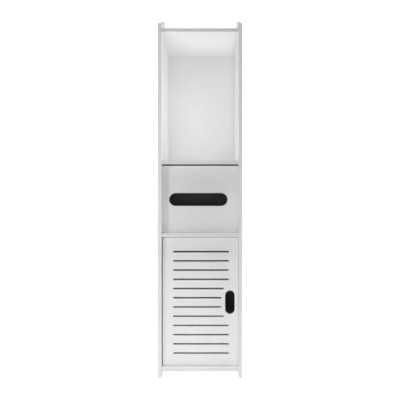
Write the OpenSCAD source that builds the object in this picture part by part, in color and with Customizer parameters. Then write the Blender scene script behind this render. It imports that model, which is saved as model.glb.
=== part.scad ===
// Slim white bathroom cabinet for toilet rolls.
// From the top: an open bay, a tissue bay behind a top-hung flap with a
// dispensing slot, and a roll bay behind a slotted door on pin hinges.
// Millimetres. The origin is on the floor under the middle of the cabinet,
// the front faces -Y and +X is on the right of someone who faces it.

/* [Carcass] */
// Width over the two side boards
overall_w = 200; // [190:1:280]
// Depth of the side boards, front to back
side_depth = 180; // [160:1:260]
// Thickness of every white board
board_t = 8; // [8:0.5:10]
// Height of the underside of the bottom board above the floor
foot_clear = 17; // [14:0.5:40]
// Clear height of the roll bay behind the door
door_bay_h = 310.5; // [280:0.5:420]
// Clear height of the tissue bay behind the flap
tissue_bay_h = 166.5; // [120:0.5:220]
// Clear height of the open bay
open_bay_h = 306; // [200:0.5:420]
// The front edges of the cross boards sit back from the side boards
front_setback = 1; // [0.5:0.5:3]

/* [Side board tops] */
// Rise of the side board above the top board at its front and back corners
top_lip = 12; // [4:0.5:20]
// Rise of the crest above those corners
crest_rise = 35; // [20:0.5:45]
// Distance of the crest from the front edge
crest_back = 76; // [60:1:100]
// Radius of the crest
crest_r = 4; // [2:0.5:8]
// Radius of the long hollow arc from the front corner up to the crest
rise_r = 620; // [400:10:1000]
// Radius of the short hollow arc from the crest down to the back
fall_r = 50; // [46:1:80]

/* [Back panel] */
// Thickness of the back panel
back_t = 4; // [3:0.5:5]
// Strip of side board left behind the back panel
back_inset = 4; // [3:0.5:8]
// Depth of the grooves that hold the back panel
groove_d = 3; // [2:0.5:4]
// Play of the back panel in its grooves
groove_play = 0.2; // [0.1:0.1:0.6]

/* [Door] */
// Door front set back from the side boards' front edges
door_recess = 11; // [4:0.5:16]
// Gap between the opening edge of the door and the side board
door_latch_gap = 0.5; // [0.5:0.1:2]
// Gap below the door, where the washer carries it
door_foot_gap = 0.7; // [0.6:0.1:2]
// Gap above the door
door_head_gap = 2.2; // [0.6:0.1:3]
// Distance of the hinge pins from the hinged edges of door and flap
pin_inset = 6; // [5:0.5:10]
// Room left at the side board when the door's hinged corner swings past it
door_swing_room = 0.8; // [0.4:0.1:2]

/* [Door slots] */
// Height of one slot
slot_h = 4; // [2:0.1:6]
// Distance from slot to slot
slot_pitch = 22.15; // [12:0.05:40]
// The slots and the finger hole are centred below the door's middle by this
slot_drop = 1.6; // [0:0.1:4]
// Least board left above the top slot and below the bottom slot
slot_end_margin = 29; // [20:1:60]
// Board left between the hinged edge and the slots
slot_hinge_margin = 25; // [18:0.5:40]
// Board left between the opening edge and the full-length slots
slot_latch_margin = 22.5; // [18:0.5:40]
// Board left between the finger hole and the slots beside it
slot_hole_margin = 9; // [6:0.5:20]
// The slots just above and below the finger hole are longer by this
slot_step = 6; // [2:0.5:8]
// Width of the finger hole
hole_w = 22.9; // [18:0.1:30]
// Height of the finger hole
hole_h = 57.2; // [40:0.1:80]
// Board left between the finger hole and the opening edge
hole_margin = 8.5; // [7:0.5:20]

/* [Tissue flap] */
// Flap front set back from the side boards' front edges
flap_recess = 20; // [12:0.5:40]
// Gap on each side of the flap
flap_side_gap = 0.4; // [0.4:0.1:2]
// Gap below the flap
flap_bottom_gap = 0.5; // [0.5:0.1:2]
// Room left under the shelf when the flap's top corner swings past it
flap_swing_room = 2.3; // [0.5:0.1:3]
// Length of the dispensing slot
tissue_slot_w = 141.8; // [100:0.1:145]
// Height of the dispensing slot, which is also the width of its round ends
tissue_slot_h = 31.4; // [20:0.1:45]
// Middle of the dispensing slot, to the side of the cabinet's middle
tissue_slot_x = -4.8; // [-6:0.1:6]
// Middle of the dispensing slot above the lower shelf
tissue_slot_z = 81.3; // [60:0.1:90]

/* [Hinge pins] */
// Diameter of the steel pins
pin_d = 3; // [2.5:0.1:3.4]
// Length of a pin held in the edge of the door or flap
pin_hold_l = 18; // [10:1:24]
// Length of a pin inside its bush
pin_reach = 5; // [4:0.1:5]
// Radial running clearance between pin and bush
pin_play = 0.05; // [0.02:0.01:0.1]
// Wall of a bush
bush_wall = 1.2; // [1:0.1:1.4]
// Length of a bush
bush_l = 6; // [5.5:0.1:6.5]
// Wall of the washer round the lower pin
washer_wall = 1.9; // [1.2:0.1:2.5]
// Room between that washer and the door
washer_play = 0.1; // [0.05:0.05:0.3]

/* [Flap stop pegs] */
// Diameter of the head that the flap rests against
peg_head_d = 8; // [6:0.5:10]
// Length of the head from the side board
peg_head_l = 7; // [5:0.5:10]
// Diameter of the stem in the side board
peg_stem_d = 5; // [4:0.5:5]
// Length of the stem
peg_stem_l = 5.5; // [4:0.5:6.5]
// Height of the pegs above the lower shelf
peg_z = 18; // [10:1:30]
// Gap between the flap and the pegs
peg_gap = 0.3; // [0.2:0.1:1]

/* [Magnetic catch] */
// Width of the catch housing without its ears
catch_w = 30; // [24:1:36]
// Depth of the catch housing
catch_d = 13; // [10:0.5:18]
// Height of the catch housing
catch_h = 14; // [12:0.5:18]
// Length of each screw ear
catch_ear_l = 9; // [8:0.5:12]
// Thickness of each screw ear
catch_ear_t = 2.5; // [2:0.5:4]
// Distance from the side board to the nearer ear
catch_side_gap = 6; // [3:0.5:20]
// Width of the magnet
magnet_w = 22; // [16:1:23]
// Height of the magnet between its two steel plates
magnet_t = 5; // [3:0.5:6]
// Thickness of each steel plate
magnet_plate_t = 1.5; // [1:0.5:2]
// Length of the magnet, front to back
magnet_l = 9; // [6:0.5:9]
// The steel plates stand out of the housing by this
magnet_proud = 0.5; // [0.3:0.1:1]
// Gap between the steel plates and the strike plate
strike_gap = 0.3; // [0.2:0.1:1]
// Width of the strike plate on the back of the door
strike_w = 24; // [18:1:30]
// Height of the strike plate
strike_h = 10; // [8:0.5:10.5]
// Thickness of the strike plate
strike_t = 1.2; // [1:0.1:2]

/* [Screws, dowels and caps] */
// Length of the screws through the side boards
screw_l = 35; // [25:1:40]
// Shank diameter of those screws
screw_d = 3.5; // [3:0.1:4]
// Head diameter of those screws
screw_head_d = 7; // [6.5:0.1:8]
// Across flats of the hex socket in the head
socket_af = 3; // [2.5:0.5:3]
// Depth of the hex socket
socket_depth = 1.5; // [1:0.1:1.6]
// Distance from the front edge, and from the back panel, to the screws
screw_inset = 36; // [34:1:45]
// Diameter of the cap over each screw
cap_d = 10; // [9:0.5:12]
// Thickness of the cap, which lies flush in the side board
cap_t = 1; // [0.8:0.1:1.2]
// Diameter of the wooden dowels
dowel_d = 5; // [4:0.5:5]
// Length of the dowels
dowel_l = 24; // [20:1:30]
// Length of each dowel inside the side board
dowel_in_side = 5.5; // [4:0.5:6]
// Bevel on the ends of pins, pegs and dowels
end_bevel = 0.8; // [0.4:0.1:1]
// Shank diameter of the catch and strike screws
small_screw_d = 2.6; // [2.2:0.1:2.8]
// Head diameter of the catch and strike screws
small_head_d = 5.2; // [5:0.1:5.8]
// Head height of the catch screws
small_head_h = 1.6; // [1.2:0.1:2]
// Length of the catch and strike screws in the board
small_screw_l = 5.5; // [4:0.5:6]

/* [Foot pads] */
// Height of the pads that carry the side boards
pad_h = 4.5; // [3:0.5:6]
// Length of a pad, front to back
pad_l = 22; // [16:1:40]
// The pad is narrower than the side board by this
pad_relief = 0.8; // [0.4:0.1:3]
// Distance from the side board's corner to the pad
pad_inset = 3; // [1:0.5:20]
// Diameter of the pin that holds a pad
pad_pin_d = 2.5; // [2:0.1:3]
// Length of that pin
pad_pin_l = 12; // [8:1:16]

/* [Hidden] */
$fn = 64;
// Slack between glued or pressed pieces, and extra depth of a cut
fit_gap = 0.02;
cut = 1;
end_room = 0.5;

white = [0.95, 0.95, 0.94];
nylon = [0.85, 0.85, 0.83];
steel = [0.62, 0.63, 0.65];
beech = [0.80, 0.66, 0.46];
dark = [0.25, 0.25, 0.26];

// Planes across the cabinet
inner_w = overall_w - 2 * board_t;
inner_x = inner_w / 2;
front_y = -side_depth / 2;
rear_y = side_depth / 2;
back_front_y = rear_y - back_inset - back_t;
cross_front_y = front_y + front_setback;
cross_rear_y = rear_y - front_setback;

// Levels
bottom_z = foot_clear;
roll_z = bottom_z + board_t;
lower_z = roll_z + door_bay_h;
tissue_z = lower_z + board_t;
upper_z = tissue_z + tissue_bay_h;
open_z = upper_z + board_t;
top_z = open_z + open_bay_h;
corner_z = top_z + board_t + top_lip;

// Crest of a side board, as points in the YZ plane. Both hollow arcs touch the crest's
// own small circle; the long one runs through the front corner and the short one touches
// the level top behind the crest.
crest_mid = [front_y + crest_back, corner_z + crest_rise - crest_r];
front_corner = [front_y, corner_z];
rise_chord = crest_mid - front_corner;
rise_span = norm(rise_chord);
rise_turn = acos((pow(rise_span, 2) + pow(rise_r, 2) - pow(rise_r + crest_r, 2)) / (2 * rise_span * rise_r));
rise_heading = atan2(rise_chord[1], rise_chord[0]) + rise_turn;
rise_mid = front_corner + rise_r * [cos(rise_heading), sin(rise_heading)];
fall_drop = crest_mid[1] - corner_z - fall_r;
fall_mid = [crest_mid[0] + sqrt(pow(fall_r + crest_r, 2) - pow(fall_drop, 2)), corner_z + fall_r];
rise_touch = rise_mid + rise_r * (crest_mid - rise_mid) / norm(crest_mid - rise_mid);
fall_touch = fall_mid + fall_r * (crest_mid - fall_mid) / norm(crest_mid - fall_mid);

// Door
swing_r = norm([pin_inset, board_t / 2]);
door_hinge_gap = swing_r - pin_inset + door_swing_room;
door_left = -inner_x + door_hinge_gap;
door_right = inner_x - door_latch_gap;
door_w = door_right - door_left;
door_bottom = roll_z + door_foot_gap;
door_h = door_bay_h - door_foot_gap - door_head_gap;
door_top = door_bottom + door_h;
door_front_y = front_y + door_recess;
door_back_y = door_front_y + board_t;
door_pin_x = door_left + pin_inset;
door_pin_y = door_front_y + board_t / 2;
hole_right = door_right - hole_margin;
hole_left = hole_right - hole_w;
slot_mid_z = door_bottom + door_h / 2 - slot_drop;
slot_left = door_left + slot_hinge_margin;
slot_right = door_right - slot_latch_margin;
slot_count = floor((door_h - 2 * (slot_end_margin + slot_drop)) / slot_pitch) + 1;

// Tissue flap
flap_top_gap = swing_r - pin_inset + flap_swing_room;
flap_w = inner_w - 2 * flap_side_gap;
flap_bottom = tissue_z + flap_bottom_gap;
flap_h = tissue_bay_h - flap_bottom_gap - flap_top_gap;
flap_top = flap_bottom + flap_h;
flap_front_y = front_y + flap_recess;
flap_back_y = flap_front_y + board_t;
flap_pin_y = flap_front_y + board_t / 2;
flap_pin_z = flap_top - pin_inset;

// Pins, bushes and pegs
pin_r = pin_d / 2;
bush_bore_r = pin_r + pin_play;
bush_r = bush_bore_r + bush_wall;
peg_y = flap_back_y + peg_gap + peg_head_d / 2;
peg_mid_z = tissue_z + peg_z;

// Side board fixings: two screws with a dowel between them at each cross board
fix_levels = [bottom_z, lower_z, upper_z, top_z];
screw_front_y = front_y + screw_inset;
screw_rear_y = back_front_y - screw_inset;
dowel_y = (screw_front_y + screw_rear_y) / 2;
head_h = (screw_head_d - screw_d) / 2;

// Magnetic catch
strike_back_y = door_back_y + strike_t;
magnet_front_y = strike_back_y + strike_gap;
catch_front_y = magnet_front_y + magnet_proud;
catch_x = inner_x - catch_side_gap - catch_ear_l - catch_w / 2;
catch_mid_z = lower_z - catch_h / 2;
magnet_h = magnet_t + 2 * magnet_plate_t;
ear_hole_x = (catch_w + catch_ear_l) / 2;
ear_y = catch_front_y + catch_d / 2;

// Foot pads
pad_w = board_t - pad_relief;
pad_x = inner_x + board_t / 2;
pad_y = side_depth / 2 - pad_inset - pad_l / 2;

// ---- Shared shapes ----

// A board between two opposite corners
module board(low, high) {
    translate(low) cube(high - low);
}

// A round rod along +Z from the origin with both ends bevelled
module bevelled_rod(r, length) {
    bevel = min(end_bevel, r / 2);
    cylinder(r1 = r - bevel, r2 = r, h = bevel);
    translate([0, 0, bevel]) cylinder(r = r, h = length - 2 * bevel);
    translate([0, 0, length - bevel]) cylinder(r1 = r, r2 = r - bevel, h = bevel);
}

// Flat outline of a slot with full-round ends, w wide and h high, round the origin
module slot_outline(w, h) {
    end_r = min(w, h) / 2;
    dx = w / 2 - end_r;
    dy = h / 2 - end_r;
    square([w - (dx > 0 ? 2 * end_r : 0), h - (dy > 0 ? 2 * end_r : 0)], center = true);
    for (side = [-1, 1]) translate([side * dx, side * dy]) circle(end_r);
}

// A slot cut through a board whose front is at y
module routed_slot(x, z, w, h, y) {
    translate([x, y + board_t + cut, z])
        rotate([90, 0, 0])
            linear_extrude(board_t + 2 * cut) slot_outline(w, h);
}

// Its children on the right side, or mirrored to the left side with side = -1
module on_side(side) {
    if (side > 0) children();
    else mirror([1, 0, 0]) children();
}

// Lays children that point along +Z along -X, from the outer face of the right side
module into_side(y, z) {
    translate([overall_w / 2, y, z]) rotate([0, -90, 0]) children();
}

// The children once for each of the eight screws of the right side
module each_screw() {
    for (level = fix_levels, y = [screw_front_y, screw_rear_y])
        into_side(y, level + board_t / 2) children();
}

// The children once for each of the four dowels of the right side
module each_dowel() {
    for (level = fix_levels) into_side(dowel_y, level + board_t / 2) children();
}

// ---- Side boards ----

module side_screw() {
    shank_l = screw_l - head_h - screw_d;
    translate([0, 0, cap_t]) difference() {
        union() {
            cylinder(r1 = screw_head_d / 2, r2 = screw_d / 2, h = head_h);
            translate([0, 0, head_h]) cylinder(d = screw_d, h = shank_l);
            translate([0, 0, head_h + shank_l]) cylinder(r1 = screw_d / 2, r2 = screw_d / 8, h = screw_d);
        }
        translate([0, 0, -cut])
            cylinder(r = socket_af / 2 / cos(30), h = socket_depth + cut, $fn = 6);
    }
}

// Everything that the screw and its cap need in the boards
module screw_way() {
    hole_r = screw_d / 2 + fit_gap;
    translate([0, 0, -cut]) cylinder(r = cap_d / 2 + fit_gap, h = cap_t + cut);
    translate([0, 0, cap_t]) cylinder(r1 = screw_head_d / 2 + fit_gap, r2 = hole_r, h = head_h + fit_gap);
    cylinder(r = hole_r, h = cap_t + screw_l + end_room);
}

// The blind hole of a dowel, part in the side board and part in the cross board
module dowel_way() {
    translate([0, 0, board_t - dowel_in_side])
        cylinder(r = dowel_d / 2 + fit_gap, h = dowel_l + end_room);
}

// A cylinder through a side board, along X, round a point in the YZ plane
module across_side(point, r, over = 0) {
    translate([inner_x - over, point[0], point[1]])
        rotate([0, 90, 0]) cylinder(r = r, h = board_t + 2 * over, $fn = 180);
}

// The crest without its round tip, between the long and the short hollow arc
module crest_flank() {
    difference() {
        union() {
            board([inner_x, front_y, corner_z], [overall_w / 2, rise_touch[0], corner_z + crest_rise]);
            board([inner_x, front_y, corner_z], [overall_w / 2, fall_mid[0], fall_touch[1]]);
        }
        across_side(rise_mid, rise_r, cut);
        across_side(fall_mid, fall_r, cut);
    }
}

// Outline of a side board with its crested top, as a slab along X
module side_slab() {
    union() {
        board([inner_x, front_y, pad_h], [overall_w / 2, rear_y, corner_z]);
        crest_flank();
        across_side(crest_mid, crest_r);
    }
}

// The right side board
module side_panel() {
    difference() {
        side_slab();
        board([inner_x - cut, back_front_y, roll_z - groove_d],
            [inner_x + groove_d, back_front_y + back_t + groove_play, top_z + groove_d]);
        each_screw() screw_way();
        each_dowel() dowel_way();
        translate([inner_x + bush_l, flap_pin_y, flap_pin_z])
            rotate([0, -90, 0]) cylinder(r = bush_r + fit_gap, h = bush_l + cut);
        translate([inner_x + peg_stem_l, peg_y, peg_mid_z])
            rotate([0, -90, 0]) cylinder(r = peg_stem_d / 2 + fit_gap, h = peg_stem_l + cut);
        for (end = [-1, 1])
            translate([pad_x, end * pad_y, pad_h - cut])
                cylinder(r = pad_pin_d / 2 + fit_gap, h = pad_pin_l + cut);
    }
}

module side_panel_right() {
    color(white) on_side(1) side_panel();
}

module side_panel_left() {
    color(white) on_side(-1) side_panel();
}

module side_screws_right() {
    color(steel) on_side(1) each_screw() side_screw();
}

module side_screws_left() {
    color(steel) on_side(-1) each_screw() side_screw();
}

module screw_caps_right() {
    color(white) on_side(1) each_screw() cylinder(d = cap_d, h = cap_t);
}

module screw_caps_left() {
    color(white) on_side(-1) each_screw() cylinder(d = cap_d, h = cap_t);
}

// A dowel seated on the bottom of its hole in the side board
module side_dowel() {
    translate([0, 0, board_t - dowel_in_side]) bevelled_rod(dowel_d / 2, dowel_l);
}

module dowels_right() {
    color(beech) on_side(1) each_dowel() side_dowel();
}

module dowels_left() {
    color(beech) on_side(-1) each_dowel() side_dowel();
}

module foot_pads() {
    end_r = pad_w / 2;
    color(nylon)
        for (side = [-1, 1], end = [-1, 1])
            translate([side * pad_x, end * pad_y, 0]) union() {
                translate([-end_r, end_r - pad_l / 2, 0]) cube([pad_w, pad_l - pad_w, pad_h]);
                for (tip = [-1, 1])
                    translate([0, tip * (pad_l / 2 - end_r), 0]) cylinder(r = end_r, h = pad_h);
                cylinder(d = pad_pin_d, h = pad_h + pad_pin_l - end_room);
            }
}

// ---- Cross boards ----

// A board across the cabinet at height z, drilled for its screws and dowels
module cross_board(z, y_to) {
    difference() {
        board([-inner_x, cross_front_y, z], [inner_x, y_to, z + board_t]);
        for (side = [-1, 1]) on_side(side) {
            for (y = [screw_front_y, screw_rear_y]) into_side(y, z + board_t / 2) screw_way();
            into_side(dowel_y, z + board_t / 2) dowel_way();
        }
        children();
    }
}

// The groove for the back panel, cut from height z upwards
module back_groove(z) {
    board([-inner_x - cut, back_front_y, z],
        [inner_x + cut, back_front_y + back_t + groove_play, z + groove_d + cut]);
}

// The seat of a door bush, cut from height z upwards
module door_bush_seat(z) {
    translate([door_pin_x, door_pin_y, z]) cylinder(r = bush_r + fit_gap, h = bush_l + cut);
}

module top_panel() {
    color(white) cross_board(top_z, cross_rear_y) back_groove(top_z - cut);
}

module upper_shelf() {
    color(white) cross_board(upper_z, back_front_y);
}

module lower_shelf() {
    color(white) cross_board(lower_z, back_front_y) {
        door_bush_seat(lower_z - cut);
        for (side = [-1, 1])
            translate([catch_x + side * ear_hole_x, ear_y, lower_z - cut])
                cylinder(r = small_screw_d / 2 + fit_gap, h = small_screw_l + end_room + cut);
    }
}

module bottom_panel() {
    color(white) cross_board(bottom_z, cross_rear_y) {
        back_groove(roll_z - groove_d);
        door_bush_seat(roll_z - bush_l);
    }
}

module back_panel() {
    edge = inner_x + groove_d - fit_gap;
    color(white)
        board([-edge, back_front_y, roll_z - groove_d],
            [edge, back_front_y + back_t, top_z + groove_d - end_room]);
}

// ---- Door ----

// Right-hand end of the slot at height z, which stops short of the finger hole
function slot_end(z) =
    abs(z - slot_mid_z) < hole_h / 2 ? hole_left - slot_hole_margin :
    abs(z - slot_mid_z) < hole_h / 2 + slot_pitch / 2 ? hole_left - slot_hole_margin + slot_step :
    slot_right;

module door_slots() {
    for (i = [0 : slot_count - 1]) {
        z = slot_mid_z + (i - (slot_count - 1) / 2) * slot_pitch;
        length = slot_end(z) - slot_left;
        routed_slot(slot_left + length / 2, z, length, slot_h, door_front_y);
    }
}

module door() {
    pin_hole_r = pin_r + fit_gap;
    color(white) difference() {
        board([door_left, door_front_y, door_bottom], [door_right, door_back_y, door_top]);
        door_slots();
        routed_slot((hole_left + hole_right) / 2, slot_mid_z, hole_w, hole_h, door_front_y);
        for (z = [door_bottom - cut, door_top - pin_hold_l])
            translate([door_pin_x, door_pin_y, z]) cylinder(r = pin_hole_r, h = pin_hold_l + cut);
        translate([catch_x, door_back_y + cut, catch_mid_z])
            rotate([90, 0, 0]) cylinder(r = small_screw_d / 2 + fit_gap, h = small_screw_l + end_room + cut);
    }
}

module door_pin_upper() {
    color(steel)
        translate([door_pin_x, door_pin_y, door_top - pin_hold_l])
            bevelled_rod(pin_r, pin_hold_l + door_head_gap + pin_reach);
}

module door_pin_lower() {
    color(steel)
        translate([door_pin_x, door_pin_y, roll_z - pin_reach])
            bevelled_rod(pin_r, pin_reach + door_foot_gap + pin_hold_l);
}

// A bush along +Z from the origin
module bush() {
    difference() {
        cylinder(r = bush_r, h = bush_l);
        translate([0, 0, -cut]) cylinder(r = bush_bore_r, h = bush_l + 2 * cut);
    }
}

module door_bush_upper() {
    color(nylon) translate([door_pin_x, door_pin_y, lower_z]) bush();
}

module door_bush_lower() {
    color(nylon) translate([door_pin_x, door_pin_y, roll_z - bush_l]) bush();
}

module door_washer() {
    washer_h = door_foot_gap - washer_play;
    color(nylon)
        translate([door_pin_x, door_pin_y, roll_z]) difference() {
            cylinder(r = bush_bore_r + washer_wall, h = washer_h);
            translate([0, 0, -cut]) cylinder(r = bush_bore_r, h = washer_h + 2 * cut);
        }
}

// ---- Tissue flap ----

module tissue_flap() {
    color(white) difference() {
        board([-flap_w / 2, flap_front_y, flap_bottom], [flap_w / 2, flap_back_y, flap_top]);
        routed_slot(tissue_slot_x, tissue_z + tissue_slot_z, tissue_slot_w, tissue_slot_h, flap_front_y);
        for (side = [-1, 1]) on_side(side)
            translate([flap_w / 2 - pin_hold_l, flap_pin_y, flap_pin_z])
                rotate([0, 90, 0]) cylinder(r = pin_r + fit_gap, h = pin_hold_l + cut);
    }
}

module flap_pin(side) {
    color(steel) on_side(side)
        translate([flap_w / 2 - pin_hold_l, flap_pin_y, flap_pin_z])
            rotate([0, 90, 0]) bevelled_rod(pin_r, pin_hold_l + flap_side_gap + pin_reach);
}

module flap_pin_left() {
    flap_pin(-1);
}

module flap_pin_right() {
    flap_pin(1);
}

module flap_bush(side) {
    color(nylon) on_side(side)
        translate([inner_x, flap_pin_y, flap_pin_z]) rotate([0, 90, 0]) bush();
}

module flap_bush_left() {
    flap_bush(-1);
}

module flap_bush_right() {
    flap_bush(1);
}

module stop_pegs() {
    color(nylon)
        for (side = [-1, 1]) on_side(side)
            translate([inner_x, peg_y, peg_mid_z]) union() {
                rotate([0, 90, 0]) cylinder(d = peg_stem_d, h = peg_stem_l);
                rotate([0, -90, 0]) cylinder(d = peg_head_d, h = peg_head_l - end_bevel);
                translate([end_bevel - peg_head_l, 0, 0])
                    rotate([0, -90, 0])
                        cylinder(r1 = peg_head_d / 2, r2 = peg_head_d / 2 - end_bevel, h = end_bevel);
            }
}

// ---- Magnetic catch ----

module catch_body() {
    ear_span = catch_w + 2 * catch_ear_l;
    color(nylon) difference() {
        union() {
            board([catch_x - catch_w / 2, catch_front_y, lower_z - catch_h],
                [catch_x + catch_w / 2, catch_front_y + catch_d, lower_z]);
            board([catch_x - ear_span / 2, catch_front_y, lower_z - catch_ear_t],
                [catch_x + ear_span / 2, catch_front_y + catch_d, lower_z]);
        }
        for (side = [-1, 1])
            translate([catch_x + side * ear_hole_x, ear_y, lower_z - catch_ear_t - cut])
                cylinder(r = small_screw_d / 2 + fit_gap, h = catch_ear_t + 2 * cut);
        board([catch_x - magnet_w / 2, catch_front_y - cut, catch_mid_z - magnet_h / 2],
            [catch_x + magnet_w / 2, magnet_front_y + magnet_l, catch_mid_z + magnet_h / 2]);
    }
}

// A magnet between two steel plates that stand out of the housing
module catch_magnet() {
    color(dark) for (side = [-1, 1])
        translate([0, 0, side * (magnet_t + magnet_plate_t) / 2])
            board([catch_x - magnet_w / 2, magnet_front_y, catch_mid_z - magnet_plate_t / 2],
                [catch_x + magnet_w / 2, magnet_front_y + magnet_l, catch_mid_z + magnet_plate_t / 2]);
    color(dark)
        board([catch_x - magnet_w / 2, catch_front_y, catch_mid_z - magnet_t / 2],
            [catch_x + magnet_w / 2, magnet_front_y + magnet_l, catch_mid_z + magnet_t / 2]);
}

module catch_screws() {
    color(steel)
        for (side = [-1, 1])
            translate([catch_x + side * ear_hole_x, ear_y, lower_z - catch_ear_t]) union() {
                translate([0, 0, -small_head_h]) cylinder(d = small_head_d, h = small_head_h);
                bevelled_rod(small_screw_d / 2, catch_ear_t + small_screw_l);
            }
}

module strike_plate() {
    color(steel) difference() {
        translate([catch_x, strike_back_y, catch_mid_z])
            rotate([90, 0, 0]) linear_extrude(strike_t) slot_outline(strike_w, strike_h);
        translate([catch_x, strike_back_y + cut, catch_mid_z])
            rotate([90, 0, 0]) cylinder(r = small_screw_d / 2 + fit_gap, h = strike_t + 2 * cut);
        translate([catch_x, strike_back_y, catch_mid_z])
            rotate([90, 0, 0])
                cylinder(r1 = small_head_d / 2 + fit_gap, r2 = small_screw_d / 2 + fit_gap, h = strike_t);
    }
}

// A countersunk screw, flush with the strike plate
module strike_screw() {
    color(steel)
        translate([catch_x, strike_back_y, catch_mid_z]) rotate([90, 0, 0]) union() {
            cylinder(r1 = small_head_d / 2, r2 = small_screw_d / 2, h = strike_t);
            cylinder(d = small_screw_d, h = strike_t + small_screw_l);
        }
}

// ---- The cabinet ----

side_panel_left();
side_panel_right();
top_panel();
upper_shelf();
lower_shelf();
bottom_panel();
back_panel();
door();
door_pin_upper();
door_pin_lower();
door_bush_upper();
door_bush_lower();
door_washer();
tissue_flap();
flap_pin_left();
flap_pin_right();
flap_bush_left();
flap_bush_right();
stop_pegs();
catch_body();
catch_magnet();
catch_screws();
strike_plate();
strike_screw();
side_screws_left();
side_screws_right();
screw_caps_left();
screw_caps_right();
dowels_left();
dowels_right();
foot_pads();
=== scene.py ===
"""Looks of a slim white toilet roll cabinet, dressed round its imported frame.

The boards, pins, screws and catch come from the frame and stay where it puts
them. This script rounds their arrises, gives each piece its finish, and sets
up the floor, the soft light and the camera. All lengths are in metres.
"""

import logging
import math
from dataclasses import dataclass
from enum import Enum
from typing import Any, Mapping, Sequence

import bpy
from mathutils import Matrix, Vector


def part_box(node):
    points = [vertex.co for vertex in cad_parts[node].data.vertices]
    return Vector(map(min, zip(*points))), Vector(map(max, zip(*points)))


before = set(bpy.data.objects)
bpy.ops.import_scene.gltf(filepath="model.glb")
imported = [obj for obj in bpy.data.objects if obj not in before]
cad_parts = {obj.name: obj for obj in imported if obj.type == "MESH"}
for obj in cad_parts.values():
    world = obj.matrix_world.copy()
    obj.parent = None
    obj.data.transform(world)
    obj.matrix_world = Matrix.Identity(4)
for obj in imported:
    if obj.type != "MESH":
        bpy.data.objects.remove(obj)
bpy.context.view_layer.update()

LOG = logging.getLogger("cabinet")
MM = 0.001
WHITE = "#FFFFFF"

Point = tuple[float, float, float]


# ---------------------------------------------------------------- small tools


def linear(hex_colour: str) -> tuple[float, float, float, float]:
    """Turns an sRGB hex colour into Blender's linear colour.

    Args:
        hex_colour: six hex digits, with or without a leading hash.

    Returns:
        Linear red, green and blue, with an alpha of 1.
    """
    digits = hex_colour.lstrip("#")
    channels = [int(digits[i:i + 2], 16) / 255 for i in (0, 2, 4)]
    red, green, blue = [
        c / 12.92 if c <= 0.04045 else ((c + 0.055) / 1.055) ** 2.4 for c in channels
    ]
    return (red, green, blue, 1.0)


def feed(tree: bpy.types.NodeTree, node: bpy.types.Node, inputs: Mapping[Any, Any]) -> None:
    """Sets a node's inputs, or links them to what feeds them.

    Args:
        tree: the node tree that holds the node.
        node: the node whose inputs are set.
        inputs: input names or numbers, each with a value or the socket that feeds it.
    """
    for key, value in inputs.items():
        if isinstance(value, bpy.types.NodeSocket):
            tree.links.new(value, node.inputs[key])
        else:
            node.inputs[key].default_value = value


def add_node(
    tree: bpy.types.NodeTree,
    kind: str,
    inputs: Mapping[Any, Any] | None = None,
    **settings: Any,
) -> bpy.types.Node:
    """Adds a shader node, sets it up and links what feeds it.

    Args:
        tree: the node tree that gets the node.
        kind: Blender's name for the kind of node.
        inputs: input names or numbers, each with a value or the socket that feeds it.
        **settings: properties of the node itself.

    Returns:
        The new node.
    """
    node = tree.nodes.new(kind)
    for name, value in settings.items():
        setattr(node, name, value)
    feed(tree, node, inputs or {})
    return node


def start_material(name: str) -> tuple[bpy.types.Material, bpy.types.NodeTree, bpy.types.Node]:
    """Starts a material.

    Args:
        name: the finish's name.

    Returns:
        The material, its node tree and its surface shader.
    """
    material = bpy.data.materials.new(name)
    material.use_nodes = True
    tree = material.node_tree
    return material, tree, tree.nodes["Principled BSDF"]


class FaceAxis(Enum):
    """The axis that a board's two broad faces look along."""

    X = "X"
    Y = "Y"
    Z = "Z"


# ------------------------------------------------------------------- finishes


@dataclass(frozen=True)
class Bay:
    """A closed bay whose inside is drawn in a darker grey: partly its grey primer, partly painted
    shade for the dark seen through its slots and gaps.
    """

    low: Vector
    high: Vector

    def mask(
        self, tree: bpy.types.NodeTree, place: bpy.types.NodeSocket,
    ) -> bpy.types.NodeSocket:
        """Makes a mask that is 1 inside the bay.

        Args:
            tree: the material's node tree.
            place: a socket with the point's place in the cabinet's frame.

        Returns:
            The mask's socket.
        """
        middle = (self.low + self.high) / 2
        half = (self.high - self.low) / 2
        offset = add_node(
            tree, "ShaderNodeVectorMath", {0: place, 1: middle}, operation="SUBTRACT",
        )
        reach = add_node(
            tree, "ShaderNodeVectorMath", {0: offset.outputs[0]}, operation="ABSOLUTE",
        )
        past = add_node(
            tree, "ShaderNodeVectorMath", {0: reach.outputs[0], 1: half}, operation="SUBTRACT",
        )
        split = add_node(tree, "ShaderNodeSeparateXYZ", {0: past.outputs[0]})
        sideways = add_node(
            tree, "ShaderNodeMath", {0: split.outputs[0], 1: split.outputs[1]},
            operation="MAXIMUM",
        )
        furthest = add_node(
            tree, "ShaderNodeMath", {0: sideways.outputs[0], 1: split.outputs[2]},
            operation="MAXIMUM",
        )
        inside = add_node(
            tree, "ShaderNodeMath", {0: furthest.outputs[0], 1: 0.0}, operation="LESS_THAN",
        )
        return inside.outputs[0]


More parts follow.
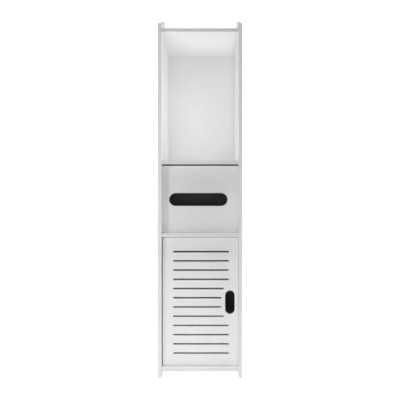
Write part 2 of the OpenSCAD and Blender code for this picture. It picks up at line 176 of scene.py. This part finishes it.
@dataclass(frozen=True)
class LacqueredFibreboard:
    """Medium-density fibreboard, routed, primed and sprayed with white satin lacquer.

    The spray leaves a faint orange peel on the faces. The sawn and routed edges
    drink more lacquer, so they are a little flatter, and show fine fibre.
    """

    name: str
    axis: FaceAxis
    bays: tuple[Bay, ...] = ()
    face_hex: str = "#F3F2F2"
    cloud_hex: str = "#EFEEEE"
    edge_hex: str = "#EBEAEA"
    # Inside the closed bays: grey primer, drawn darker as painted shade
    primer_and_shade_hex: str = "#8C8B8C"
    # Lacquer is a polymer film, with an index of about 1.5
    ior: float = 1.5
    face_roughness: float = 0.40
    edge_roughness: float = 0.55
    # How far the gloss of a face wanders to either side
    gloss_spread: float = 0.05
    # Below this share of a broad face's normal, a face counts as an edge
    edge_turn: float = 0.7
    # Soft clouds of tone, as wide as a spray fan's overlap
    cloud_size: float = 90 * MM
    # Orange peel of sprayed lacquer is 1 to 2 mm from crest to crest
    peel_size: float = 1.6 * MM
    peel_height: float = 0.012 * MM
    # Fibre bundles in an edge are about 0.4 mm
    fibre_size: float = 0.4 * MM
    fibre_height: float = 0.02 * MM

    def build(self) -> bpy.types.Material:
        """Builds the material.

        Returns:
            The finished material.
        """
        material, tree, surface = start_material(self.name)
        coords = add_node(tree, "ShaderNodeTexCoord")
        place = coords.outputs["Object"]
        split = add_node(tree, "ShaderNodeSeparateXYZ", {0: coords.outputs["Normal"]})
        along = add_node(
            tree, "ShaderNodeMath", {0: split.outputs[self.axis.value]}, operation="ABSOLUTE",
        )
        edge = add_node(
            tree, "ShaderNodeMath", {0: along.outputs[0], 1: self.edge_turn},
            operation="LESS_THAN",
        ).outputs[0]

        cloud = add_node(
            tree, "ShaderNodeTexNoise",
            {
                "Vector": place, "Scale": 1 / self.cloud_size,
                "Detail": 2.0, "Roughness": 0.5,
            },
        )
        tone = add_node(
            tree, "ShaderNodeMix",
            {0: cloud.outputs["Fac"], 6: linear(self.face_hex), 7: linear(self.cloud_hex)},
            data_type="RGBA",
        )
        coat = add_node(
            tree, "ShaderNodeMix",
            {0: edge, 6: tone.outputs[2], 7: linear(self.edge_hex)},
            data_type="RGBA",
        )
        colour = coat.outputs[2]
        # Inside the closed bays the colour turns to the darker grey: partly primer, partly painted
        # shade
        for bay in self.bays:
            inside = add_node(
                tree, "ShaderNodeMix",
                {0: bay.mask(tree, place), 6: colour, 7: linear(self.primer_and_shade_hex)},
                data_type="RGBA",
            )
            colour = inside.outputs[2]

        peel = add_node(
            tree, "ShaderNodeTexNoise",
            {"Vector": place, "Scale": 1 / self.peel_size, "Detail": 1.0, "Roughness": 0.4},
        )
        fibre = add_node(
            tree, "ShaderNodeTexNoise",
            {"Vector": place, "Scale": 1 / self.fibre_size, "Detail": 3.0, "Roughness": 0.6},
        )
        gloss = add_node(
            tree, "ShaderNodeMapRange",
            {
                "Value": peel.outputs["Fac"],
                "To Min": self.face_roughness - self.gloss_spread,
                "To Max": self.face_roughness + self.gloss_spread,
            },
        )
        roughness = add_node(
            tree, "ShaderNodeMix",
            {0: edge, 2: gloss.outputs[0], 3: self.edge_roughness},
            data_type="FLOAT",
        )
        peel_bump = add_node(
            tree, "ShaderNodeBump",
            {"Height": peel.outputs["Fac"], "Distance": self.peel_height, "Strength": 1.0},
        )
        grain = add_node(
            tree, "ShaderNodeMath", {0: fibre.outputs["Fac"], 1: edge}, operation="MULTIPLY",
        )
        bump = add_node(
            tree, "ShaderNodeBump",
            {
                "Height": grain.outputs[0], "Distance": self.fibre_height,
                "Strength": 1.0, "Normal": peel_bump.outputs[0],
            },
        )
        feed(tree, surface, {
            "Base Color": colour, "Roughness": roughness.outputs[0],
            "Normal": bump.outputs[0], "IOR": self.ior,
        })
        return material


@dataclass(frozen=True)
class MouldedPlastic:
    """Injection-moulded nylon or polypropylene with a fine spark-eroded grain.

    The grain breaks the highlight up, so the piece looks matt, and thin spots
    glow a little because the plastic isn't quite opaque.
    """

    name: str
    hex_colour: str
    roughness: float
    # Nylon is about 1.53 and polypropylene 1.49
    ior: float = 1.5
    # Spark erosion leaves pits of about 0.15 mm, drawn at 0.5 mm so that they show
    grain_size: float = 0.5 * MM
    grain_height: float = 0.01 * MM
    # How far gloss and tone wander with the grain, to either side
    gloss_spread: float = 0.06
    tone_spread: float = 0.03
    # Light goes in by about 1 mm
    subsurface: float = 0.08
    subsurface_depth: float = 1 * MM

    def build(self) -> bpy.types.Material:
        """Builds the material.

        Returns:
            The finished material.
        """
        material, tree, surface = start_material(self.name)
        place = add_node(tree, "ShaderNodeTexCoord").outputs["Object"]
        grain = add_node(
            tree, "ShaderNodeTexNoise",
            {"Vector": place, "Scale": 1 / self.grain_size, "Detail": 2.0},
        )
        tint = add_node(
            tree, "ShaderNodeHueSaturation",
            {
                "Value": add_node(
                    tree, "ShaderNodeMapRange",
                    {
                        "Value": grain.outputs["Fac"],
                        "To Min": 1 - self.tone_spread, "To Max": 1 + self.tone_spread,
                    },
                ).outputs[0],
                "Color": linear(self.hex_colour),
            },
        )
        gloss = add_node(
            tree, "ShaderNodeMapRange",
            {
                "Value": grain.outputs["Fac"],
                "To Min": self.roughness - self.gloss_spread,
                "To Max": self.roughness + self.gloss_spread,
            },
        )
        bump = add_node(
            tree, "ShaderNodeBump",
            {"Height": grain.outputs["Fac"], "Distance": self.grain_height, "Strength": 1.0},
        )
        feed(tree, surface, {
            "Base Color": tint.outputs[0], "Roughness": gloss.outputs[0],
            "Normal": bump.outputs[0], "IOR": self.ior,
            "Subsurface Weight": self.subsurface, "Subsurface Scale": self.subsurface_depth,
        })
        return material


@dataclass(frozen=True)
class ZincPlatedSteel:
    """Cold-drawn or pressed steel, barrel-plated with bright zinc.

    Tumbling in the plating barrel leaves a soft shine with fine random dings.
    """

    name: str
    hex_colour: str = "#B4B7BB"
    # Dings from the barrel are about 0.3 mm
    ding_size: float = 0.3 * MM
    ding_height: float = 0.008 * MM
    ding_strength: float = 0.6
    # Patches of duller zinc, and the range of their roughness and tone
    patch_size: float = 3 * MM
    patch_roughness: tuple[float, float] = (0.22, 0.42)
    patch_tone: tuple[float, float] = (0.92, 1.05)

    def build(self) -> bpy.types.Material:
        """Builds the material.

        Returns:
            The finished material.
        """
        material, tree, surface = start_material(self.name)
        place = add_node(tree, "ShaderNodeTexCoord").outputs["Object"]
        patch = add_node(
            tree, "ShaderNodeTexNoise",
            {"Vector": place, "Scale": 1 / self.patch_size, "Detail": 3.0},
        )
        ding = add_node(
            tree, "ShaderNodeTexVoronoi", {"Vector": place, "Scale": 1 / self.ding_size},
        )
        gloss = add_node(
            tree, "ShaderNodeMapRange",
            {
                "Value": patch.outputs["Fac"],
                "To Min": self.patch_roughness[0], "To Max": self.patch_roughness[1],
            },
        )
        tint = add_node(
            tree, "ShaderNodeHueSaturation",
            {
                "Value": add_node(
                    tree, "ShaderNodeMapRange",
                    {
                        "Value": patch.outputs["Fac"],
                        "To Min": self.patch_tone[0], "To Max": self.patch_tone[1],
                    },
                ).outputs[0],
                "Color": linear(self.hex_colour),
            },
        )
        bump = add_node(
            tree, "ShaderNodeBump",
            {
                "Height": ding.outputs["Distance"], "Distance": self.ding_height,
                "Strength": self.ding_strength,
            },
        )
        feed(tree, surface, {
            "Base Color": tint.outputs[0], "Roughness": gloss.outputs[0],
            "Normal": bump.outputs[0], "Metallic": 1.0,
        })
        return material


@dataclass(frozen=True)
class TurnedBeech:
    """Plain beech dowel rod, turned and left bare, with short dark ray flecks."""

    name: str
    pale_hex: str = "#D9B88C"
    dark_hex: str = "#B98F60"
    roughness: float = 0.62
    # Growth rings of about 2 mm, and flecks of about 0.4 mm
    ring_size: float = 2 * MM
    fleck_size: float = 0.4 * MM
    # The rods lie along X, so the grain is drawn out that way
    grain_draw: Point = (0.08, 1.0, 1.0)
    # The part of the pattern's range that runs from the dark tone to the pale one
    tone_range: tuple[float, float] = (0.15, 0.4)
    pore_depth: float = 0.03 * MM
    pore_strength: float = 0.8

    def build(self) -> bpy.types.Material:
        """Builds the material.

        Returns:
            The finished material.
        """
        material, tree, surface = start_material(self.name)
        place = add_node(tree, "ShaderNodeTexCoord").outputs["Object"]
        drawn = add_node(
            tree, "ShaderNodeVectorMath", {0: place, 1: self.grain_draw}, operation="MULTIPLY",
        )
        ring = add_node(
            tree, "ShaderNodeTexNoise",
            {"Vector": drawn.outputs[0], "Scale": 1 / self.ring_size, "Detail": 3.0},
        )
        fleck = add_node(
            tree, "ShaderNodeTexNoise",
            {"Vector": drawn.outputs[0], "Scale": 1 / self.fleck_size, "Detail": 1.0},
        )
        both = add_node(
            tree, "ShaderNodeMath", {0: ring.outputs["Fac"], 1: fleck.outputs["Fac"]},
            operation="MULTIPLY",
        )
        tone = add_node(
            tree, "ShaderNodeMapRange",
            {
                "Value": both.outputs[0],
                "From Min": self.tone_range[0], "From Max": self.tone_range[1],
            },
        )
        colour = add_node(
            tree, "ShaderNodeMix",
            {0: tone.outputs[0], 6: linear(self.dark_hex), 7: linear(self.pale_hex)},
            data_type="RGBA",
        )
        bump = add_node(
            tree, "ShaderNodeBump",
            {
                "Height": both.outputs[0], "Distance": self.pore_depth,
                "Strength": self.pore_strength,
            },
        )
        feed(tree, surface, {
            "Base Color": colour.outputs[2], "Normal": bump.outputs[0],
            "Roughness": self.roughness,
        })
        return material


@dataclass(frozen=True)
class PressedFerrite:
    """Sintered ferrite magnet between plain steel plates: dark, dense and faintly grainy."""

    name: str
    hex_colour: str = "#3A3A3C"
    # The ceramic and its steel plates share this finish, so it lies between the two
    metallic: float = 0.6
    roughness: float = 0.5
    gloss_spread: float = 0.1
    # Pressed grain is finer than 0.1 mm, drawn at 0.4 mm so that it shows
    grain_size: float = 0.4 * MM
    grain_height: float = 0.02 * MM

    def build(self) -> bpy.types.Material:
        """Builds the material.

        Returns:
            The finished material.
        """
        material, tree, surface = start_material(self.name)
        place = add_node(tree, "ShaderNodeTexCoord").outputs["Object"]
        grain = add_node(
            tree, "ShaderNodeTexNoise",
            {"Vector": place, "Scale": 1 / self.grain_size, "Detail": 3.0},
        )
        gloss = add_node(
            tree, "ShaderNodeMapRange",
            {
                "Value": grain.outputs["Fac"],
                "To Min": self.roughness - self.gloss_spread,
                "To Max": self.roughness + self.gloss_spread,
            },
        )
        bump = add_node(
            tree, "ShaderNodeBump",
            {"Height": grain.outputs["Fac"], "Distance": self.grain_height, "Strength": 1.0},
        )
        feed(tree, surface, {
            "Base Color": linear(self.hex_colour), "Metallic": self.metallic,
            "Roughness": gloss.outputs[0], "Normal": bump.outputs[0],
        })
        return material


# --------------------------------------------------------------- sub-assemblies


@dataclass
class Arris:
    """How far the corners of a piece are rounded over, and how finely."""

    radius: float
    steps: int = 3
    # Points nearer than this are one point
    weld_gap: float = 0.002 * MM
    # Faces that turn by less than this lie in one plane, in degrees
    flat_turn: float = 0.5
    # Corners that turn by more than this are rounded, in degrees
    corner_turn: float = 35.0

    def round_over(self, piece: bpy.types.Object) -> None:
        """Rounds the sharp corners of a piece with modifiers.

        Args:
            piece: the mesh object to round.
        """
        weld = piece.modifiers.new("weld", "WELD")
        weld.merge_threshold = self.weld_gap
        flat = piece.modifiers.new("flat faces", "DECIMATE")
        flat.decimate_type = "DISSOLVE"
        flat.angle_limit = math.radians(self.flat_turn)
        bevel = piece.modifiers.new("arris", "BEVEL")
        bevel.width = self.radius
        bevel.segments = self.steps
        bevel.limit_method = "ANGLE"
        bevel.angle_limit = math.radians(self.corner_turn)
        bevel.harden_normals = True
        bevel.miter_outer = "MITER_ARC"


@dataclass
class SubAssembly:
    """A group of frame nodes that are rounded and finished alike."""

    title: str
    nodes: Sequence[str]
    arris: Arris | None = None

    def dress(self, material: bpy.types.Material) -> None:
        """Rounds the nodes' arrises and gives them their material.

        Args:
            material: the finish of every node in the group.
        """
        for name in self.nodes:
            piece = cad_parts[name]
            piece.data.materials.clear()
            piece.data.materials.append(material)
            if self.arris is not None:
                self.arris.round_over(piece)
            LOG.info("%s: %s", self.title, name)


# ----------------------------------------------------------------------- studio


@dataclass(frozen=True)
class SoftLight:
    """A rectangular soft light that looks at a point."""

    name: str
    place: Point
    target: Point
    size: tuple[float, float]
    watts: float

    def build(self) -> None:
        """Builds the light, hangs it at its place and turns it to its target."""
        lamp = bpy.data.lights.new(self.name, "AREA")
        lamp.shape = "RECTANGLE"
        lamp.size, lamp.size_y = self.size
        lamp.energy = self.watts
        light = bpy.data.objects.new(self.name, lamp)
        light.location = self.place
        aim = Vector(self.target) - Vector(self.place)
        light.rotation_euler = aim.to_track_quat("-Z", "Y").to_euler()
        light.visible_camera = False
        bpy.context.scene.collection.objects.link(light)


@dataclass(frozen=True)
class PaleFloor:
    """A pale matt floor, over-lit until it is white, with a painted pool of glow on it that also
    lights the cabinet from below.
    """

    hex_colour: str = "#F4F4F4"
    size: float = 16.0
    roughness: float = 0.9
    specular: float = 0.1
    # The painted pool of glow on the floor: its middle, its radius and its brightness
    pool_place: Point = (0.0, -0.3, 0.0)
    pool_radius: float = 0.3
    painted_pool_glow: float = 0.53
    # How far the over-exposure washes the shadows out, and how bright it is
    wash: float = 0.85
    wash_glow: float = 1.15

    def material(self) -> bpy.types.Material:
        """Builds the floor's material.

        Returns:
            The finished material.
        """
        material, tree, surface = start_material("pale floor")
        place = add_node(tree, "ShaderNodeTexCoord").outputs["Object"]
        # The pool fades as a bell curve, to 1 / e at its radius
        away = add_node(
            tree, "ShaderNodeVectorMath", {0: place, 1: self.pool_place}, operation="DISTANCE",
        )
        radii = add_node(
            tree, "ShaderNodeMath", {0: away.outputs["Value"], 1: self.pool_radius},
            operation="DIVIDE",
        )
        square = add_node(
            tree, "ShaderNodeMath", {0: radii.outputs[0], 1: 2.0}, operation="POWER",
        )
        fall = add_node(
            tree, "ShaderNodeMath", {0: 1 / math.e, 1: square.outputs[0]}, operation="POWER",
        )
        pool = add_node(
            tree, "ShaderNodeMath", {0: fall.outputs[0], 1: self.painted_pool_glow},
            operation="MULTIPLY",
        )
        # The floor glows with the painted pool, which also lights the cabinet from below
        feed(tree, surface, {
            "Base Color": linear(self.hex_colour), "Roughness": self.roughness,
            "Specular IOR Level": self.specular,
            "Emission Color": linear(WHITE), "Emission Strength": pool.outputs[0],
        })

        ray = add_node(tree, "ShaderNodeLightPath")
        share = add_node(
            tree, "ShaderNodeMath", {0: ray.outputs["Is Camera Ray"], 1: self.wash},
            operation="MULTIPLY",
        )
        white = add_node(
            tree, "ShaderNodeEmission", {"Color": linear(WHITE), "Strength": self.wash_glow},
        )
        both = add_node(
            tree, "ShaderNodeMixShader",
            {0: share.outputs[0], 1: surface.outputs["BSDF"], 2: white.outputs[0]},
        )
        feed(tree, tree.nodes["Material Output"], {"Surface": both.outputs[0]})
        return material

    def build(self) -> None:
        """Lays the floor."""
        half = self.size / 2
        mesh = bpy.data.meshes.new("floor")
        mesh.from_pydata(
            [(-half, -half, 0), (half, -half, 0), (half, half, 0), (-half, half, 0)],
            [], [(0, 1, 2, 3)],
        )
        mesh.materials.append(self.material())
        plane = bpy.data.objects.new("floor", mesh)
        bpy.context.scene.collection.objects.link(plane)


@dataclass
class Studio:
    """The pale floor, the white surround, the soft lights and the camera."""

    floor: PaleFloor = PaleFloor()
    lights: tuple[SoftLight, ...] = ()
    # The surround shows white, and lights the cabinet much less than it shows
    surround_glow: float = 1.1
    surround_fill: float = 0.12
    # The photograph's viewing point. The camera looks level along +Y
    camera_place: Point = (0.0285, -1.030, 0.443)
    # Focal length and sensor width in millimetres, and the shift in frame widths
    lens: float = 35.65
    sensor_width: float = 36.0
    shift: tuple[float, float] = (-0.03, -0.02)

    def surround(self) -> None:
        """Surrounds the scene with an even white."""
        world = bpy.data.worlds.new("surround")
        world.use_nodes = True
        bpy.context.scene.world = world
        tree = world.node_tree
        ray = add_node(tree, "ShaderNodeLightPath")
        glow = add_node(
            tree, "ShaderNodeMapRange",
            {
                "Value": ray.outputs["Is Camera Ray"],
                "To Min": self.surround_fill, "To Max": self.surround_glow,
            },
        )
        feed(tree, tree.nodes["Background"], {
            "Color": linear(WHITE), "Strength": glow.outputs[0],
        })

    def camera(self) -> None:
        """Sets the camera up at the photograph's viewing angle."""
        data = bpy.data.cameras.new("camera")
        data.lens = self.lens
        data.sensor_width = self.sensor_width
        data.shift_x, data.shift_y = self.shift
        camera = bpy.data.objects.new("camera", data)
        camera.location = self.camera_place
        camera.rotation_euler = (math.radians(90), 0, 0)
        bpy.context.scene.collection.objects.link(camera)
        bpy.context.scene.camera = camera

    def build(self) -> None:
        """Builds the whole studio."""
        self.floor.build()
        self.surround()
        for light in self.lights:
            light.build()
        self.camera()
        scene = bpy.context.scene
        scene.view_settings.view_transform = "Standard"
        scene.view_settings.look = "None"


# What the large lights aim at
FRONT_MIDDLE: Point = (0, -0.08, 0.45)
LEFT_FRONT_EDGE: Point = (-0.096, -0.09, 0.45)

STUDIO = Studio(
    lights=(
        # From above, from the right, along the left front edge and from low in front
        SoftLight("overhead box", (0, -1.0, 5.5), FRONT_MIDDLE, (2.4, 1.0), 108.0),
        SoftLight("right front box", (1.2, -1.9, 0.5), FRONT_MIDDLE, (0.9, 1.6), 4.2),
        SoftLight("left strip", (-0.505, -0.595, 0.45), LEFT_FRONT_EDGE, (0.12, 0.9), 0.715),
        SoftLight(
            "left near strip", (-0.312, -0.362, 0.45), LEFT_FRONT_EDGE, (0.08, 0.8), 0.312,
        ),
        SoftLight("low front box", (0, -1.6, 0.4), (0, -0.08, 0.4), (0.8, 0.3), 0.80),
        SoftLight("floor bounce", (0, -0.45, 0.12), (0, -0.08, 0.12), (0.5, 0.12), 0.078),
        # Inside the open bay, whose walls and back are evenly lit
        SoftLight(
            "bay fill", (-0.011, -0.086, 0.66), (-0.011, 0.05, 0.66), (0.05, 0.16), 0.0765,
        ),
        SoftLight("bay top fill", (-0.04, -0.086, 0.775), (-0.09, 0.0, 0.80), (0.04, 0.04), 0.004),
        SoftLight("bay shelf fill", (0, -0.005, 0.520), (0, -0.005, 0.8), (0.17, 0.16), 0.040),
        SoftLight(
            "bay wall fill", (0.088, -0.02, 0.70), (-0.092, -0.02, 0.70), (0.10, 0.22), 0.027,
        ),
        # Over the top board, one for the inner side of each crest
        SoftLight(
            "left tray fill", (-0.088, -0.045, 0.885), (0.09, -0.045, 0.850), (0.08, 0.03), 0.08,
        ),
        SoftLight(
            "right tray fill", (0.088, -0.045, 0.885), (-0.09, -0.045, 0.850), (0.08, 0.03), 0.08,
        ),
        # Across the front: each lights an outer side and the far board's inner front strip
        SoftLight("left side box", (-1.2, -0.22, 0.5), (0.09, -0.075, 0.5), (0.2, 1.2), 4.4),
        SoftLight("right side box", (1.2, -0.22, 0.5), (-0.09, -0.075, 0.5), (0.2, 1.2), 4.4),
        # Behind the cabinet, for its back panel
        SoftLight("rear box", (0.3, 1.3, 0.6), (0, 0.09, 0.45), (0.8, 1.0), 6.0),
    ),
)


def closed_bays() -> tuple[Bay, Bay]:
    """Works out the insides of the tissue bay and the roll bay from the frame.

    Returns:
        The two bays, a little larger than the spaces, so that they take the walls in.
    """
    skin = 0.3 * MM
    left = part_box("side_panel_left")[1].x
    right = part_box("side_panel_right")[0].x
    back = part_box("back_panel")[0].y
    bays = []
    for front_board, under, over in (
        ("tissue_flap", "lower_shelf", "upper_shelf"),
        ("door", "bottom_panel", "lower_shelf"),
    ):
        low = Vector((left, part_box(front_board)[1].y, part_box(under)[1].z))
        high = Vector((right, back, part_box(over)[0].z))
        grow = Vector((skin, skin, skin))
        bays.append(Bay(low - grow, high + grow))
    return bays[0], bays[1]


def main() -> None:
    """Builds the finishes, dresses the sub-assemblies and sets up the studio."""
    logging.basicConfig(level=logging.INFO, format="%(name)s: %(message)s")
    bays = closed_bays()
    board_arris = Arris(0.25 * MM)
    sides = SubAssembly("side boards", ("side_panel_left", "side_panel_right"), board_arris)
    sides.dress(LacqueredFibreboard("lacquered side boards", FaceAxis.X, bays).build())
    shelves = SubAssembly(
        "cross boards", ("top_panel", "upper_shelf", "lower_shelf", "bottom_panel"), board_arris,
    )
    # The cross boards' edges are drawn darker than the other boards' edges: painted shade for the
    # dimmer front edges of the top and shelves
    shelves.dress(
        LacqueredFibreboard("lacquered cross boards with painted edge shade", FaceAxis.Z, bays, edge_hex="#E5E4E4").build()
    )
    fronts = SubAssembly("door and flap", ("door", "tissue_flap"), board_arris)
    fronts.dress(LacqueredFibreboard("lacquered fronts", FaceAxis.Y, bays).build())
    # The back panel is drawn a touch darker than the boards: partly its faced hardboard, partly
    # painted shade for the dimmer back of the open bay
    back = SubAssembly("back panel", ("back_panel",), Arris(0.3 * MM))
    back.dress(
        LacqueredFibreboard(
            "faced hardboard with painted shade", FaceAxis.Y, bays, face_hex="#ECEBEB", cloud_hex="#E8E7E7",
        ).build()
    )

    nylon = MouldedPlastic("moulded nylon", "#DCDCD6", roughness=0.5).build()
    SubAssembly(
        "bushes, washer and pegs",
        (
            "door_bush_upper", "door_bush_lower", "door_washer", "flap_bush_left",
            "flap_bush_right", "stop_pegs",
        ),
        Arris(0.15 * MM, steps=2),
    ).dress(nylon)
    SubAssembly("catch housing", ("catch_body",), Arris(0.5 * MM)).dress(nylon)
    SubAssembly("screw caps", ("screw_caps_left", "screw_caps_right"), Arris(0.25 * MM)).dress(
        MouldedPlastic("cap polypropylene", "#E6E6E4", roughness=0.42).build()
    )
    SubAssembly("foot pads", ("foot_pads",), Arris(0.6 * MM)).dress(
        MouldedPlastic("pad polyethylene", "#E2E2E0", roughness=0.5).build()
    )
    zinc = ZincPlatedSteel("zinc-plated steel").build()
    SubAssembly(
        "pins, screws and strike plate",
        (
            "door_pin_upper", "door_pin_lower", "flap_pin_left", "flap_pin_right",
            "catch_screws", "strike_plate", "strike_screw", "side_screws_left",
            "side_screws_right",
        ),
        Arris(0.12 * MM, steps=2),
    ).dress(zinc)
    SubAssembly("magnet", ("catch_magnet",), Arris(0.2 * MM, steps=2)).dress(
        PressedFerrite("pressed ferrite").build()
    )
    SubAssembly("dowels", ("dowels_left", "dowels_right")).dress(
        TurnedBeech("turned beech").build()
    )

    STUDIO.build()


if __name__ == "__main__":
    main()
